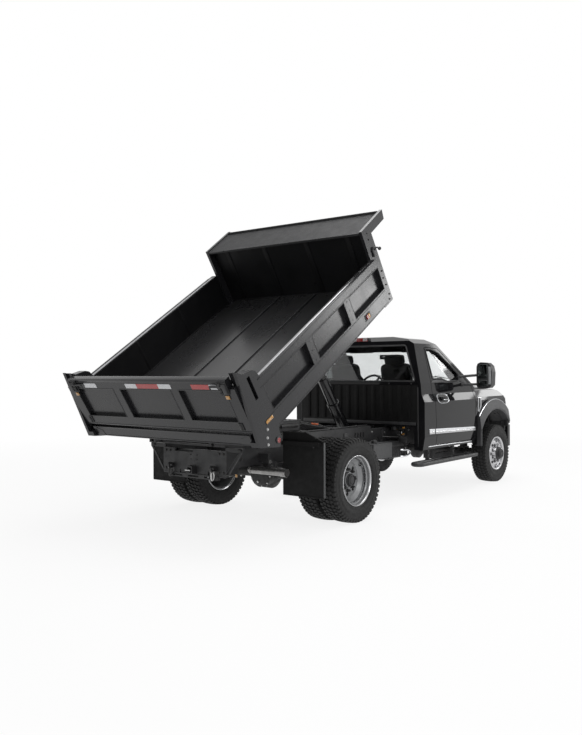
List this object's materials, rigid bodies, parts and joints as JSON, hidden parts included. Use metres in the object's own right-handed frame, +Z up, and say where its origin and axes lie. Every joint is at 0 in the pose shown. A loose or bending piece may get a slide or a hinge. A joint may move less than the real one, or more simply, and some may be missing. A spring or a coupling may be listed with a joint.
{
  "type": "dump truck",
  "caption": "Two-door cab truck on a twin-wheel chassis with a hydraulically tipped steel bed, cab shield and top-hinged tailgate.",
  "frame": {"origin": "on the ground under the middle of the truck's length and width, with the bed raised as stored", "axes": "+X is forward, towards the front bumper, +Y is the truck's left side, and +Z is up"},
  "size_m": [6.4084, 2.732, 3.3711],
  "materials": {
    "bed_paint": "satin charcoal-black paint on steel",
    "black_paint": "gloss black paint",
    "bright_steel": "bright plated steel",
    "cast": "dark cast iron",
    "chassis_black": "matt black chassis paint",
    "flap": "black rubber sheet",
    "floor_steel": "worn dark grey steel",
    "glass": "tinted glass",
    "lamp_clear": "clear lens over a bright reflector",
    "lamp_red": "red lens",
    "pipe": "aluminised steel pipe",
    "polished": "polished aluminium",
    "seat": "dark grey cloth",
    "tank_grey": "grey painted steel",
    "trim": "black moulded plastic",
    "tyre": "black rubber",
    "wheel_grey": "grey painted steel"
  },
  "bodies": {
    "chassis": {"chassis_frame": "chassis_black", "hoist_frame": "chassis_black", "rear_axle": "cast", "front_axle": "cast", "springs": "chassis_black", "engine_block": "cast", "driveline": "chassis_black", "tanks": "tank_grey", "pump_box": "chassis_black", "exhaust": "pipe", "mud_flaps": "flap", "hitch_plate": "chassis_black", "cab_shell": "black_paint", "cab_roof": "black_paint", "windshield": "glass", "rear_window": "glass", "roof_lamp": "lamp_red", "seats": "seat", "dashboard": "trim", "steering_wheel": "trim", "step_tubes": "chassis_black", "fenders": "black_paint", "flares": "trim", "grille": "trim", "headlamps": "lamp_clear", "front_bumper": "bright_steel"},
    "hood": {"hood": "black_paint"},
    "door_left": {"door_left": "black_paint", "door_glass_left": "glass", "mirror_left": "trim"},
    "door_right": {"door_right": "black_paint", "door_glass_right": "glass", "mirror_right": "trim"},
    "knuckle_left": {"knuckle_left": "cast"},
    "knuckle_right": {"knuckle_right": "cast"},
    "wheel_front_left": {"rim_front_left": "polished", "tyre_front_left": "tyre"},
    "wheel_front_right": {"rim_front_right": "polished", "tyre_front_right": "tyre"},
    "wheels_rear_left": {"rims_rear_left": "wheel_grey", "tyres_rear_left": "tyre"},
    "wheels_rear_right": {"rims_rear_right": "wheel_grey", "tyres_rear_right": "tyre"},
    "bed": {"bed_floor": "floor_steel", "bed_side_left": "bed_paint", "bed_side_right": "bed_paint", "bed_bulkhead": "bed_paint", "cab_shield": "bed_paint", "rear_sill": "bed_paint", "bed_lamps": "lamp_red"},
    "tailgate": {"tailgate": "bed_paint"},
    "hoist_barrel": {"hoist_barrel": "chassis_black"},
    "hoist_stage_1": {"hoist_stage_1": "chassis_black"},
    "hoist_stage_2": {"hoist_stage_2": "chassis_black"},
    "hoist_rod": {"hoist_rod": "bright_steel"}
  },
  "joints": [
    {"name": "bed_tip", "type": "hinge", "parent": "chassis", "child": "bed", "pos_m": [-2.60494, 0, 0.95008], "axis": [0, -1, 0], "range_deg": [-33, 12]},
    {"name": "tailgate_swing", "type": "hinge", "parent": "bed", "child": "tailgate", "pos_m": [-3.09184, 0, 1.51623], "axis": [0, 1, 0], "range_deg": [0, 60]},
    {"name": "hood_lift", "type": "hinge", "parent": "chassis", "child": "hood", "pos_m": [2.05619, 0, 1.268], "axis": [0, -1, 0], "range_deg": [0, 50]},
    {"name": "door_left_swing", "type": "hinge", "parent": "chassis", "child": "door_left", "pos_m": [1.95719, 0.99, 1], "axis": [0, 0, -1], "range_deg": [0, 65]},
    {"name": "door_right_swing", "type": "hinge", "parent": "chassis", "child": "door_right", "pos_m": [1.95719, -0.99, 1], "axis": [0, 0, 1], "range_deg": [0, 65]},
    {"name": "steer_left", "type": "hinge", "parent": "chassis", "child": "knuckle_left", "pos_m": [2.51419, 0.8, 0.4075], "axis": [0, 0, 1], "range_deg": [-35, 35]},
    {"name": "steer_right", "type": "hinge", "parent": "chassis", "child": "knuckle_right", "pos_m": [2.51419, -0.8, 0.4075], "axis": [0, 0, 1], "range_deg": [-35, 35]},
    {"name": "roll_front_left", "type": "hinge", "parent": "knuckle_left", "child": "wheel_front_left", "pos_m": [2.51419, 0.95, 0.4075], "axis": [0, 1, 0], "continuous": true},
    {"name": "roll_front_right", "type": "hinge", "parent": "knuckle_right", "child": "wheel_front_right", "pos_m": [2.51419, -0.95, 0.4075], "axis": [0, 1, 0], "continuous": true},
    {"name": "roll_rear_left", "type": "hinge", "parent": "chassis", "child": "wheels_rear_left", "pos_m": [-1.27581, 0.965, 0.4425], "axis": [0, 1, 0], "continuous": true},
    {"name": "roll_rear_right", "type": "hinge", "parent": "chassis", "child": "wheels_rear_right", "pos_m": [-1.27581, -0.965, 0.4425], "axis": [0, 1, 0], "continuous": true},
    {"name": "hoist_swing", "type": "hinge", "parent": "chassis", "child": "hoist_barrel", "pos_m": [0.28019, 0, 0.756], "axis": [0, -1, 0], "range_deg": [-8.5, 23.2]},
    {"name": "hoist_stage_1_slide", "type": "slide", "parent": "hoist_barrel", "child": "hoist_stage_1", "axis": [-0.5857, 0, 0.8105], "range_m": [-0.3898, 0.1424]},
    {"name": "hoist_stage_2_slide", "type": "slide", "parent": "hoist_stage_1", "child": "hoist_stage_2", "axis": [-0.5857, 0, 0.8105], "range_m": [-0.3898, 0.1424]},
    {"name": "hoist_rod_slide", "type": "slide", "parent": "hoist_stage_2", "child": "hoist_rod", "axis": [-0.5857, 0, 0.8105], "range_m": [-0.3898, 0.1424]}
  ],
  "couplings": [
    {"joint": "steer_right", "follows": "steer_left", "ratio": 1},
    {"joint": "hoist_swing", "follows": "bed_tip", "ratio": -0.7},
    {"joint": "hoist_stage_1_slide", "follows": "bed_tip", "m_per_rad": 0.67501},
    {"joint": "hoist_stage_2_slide", "follows": "bed_tip", "m_per_rad": 0.67501},
    {"joint": "hoist_rod_slide", "follows": "bed_tip", "m_per_rad": 0.67501}
  ]
}
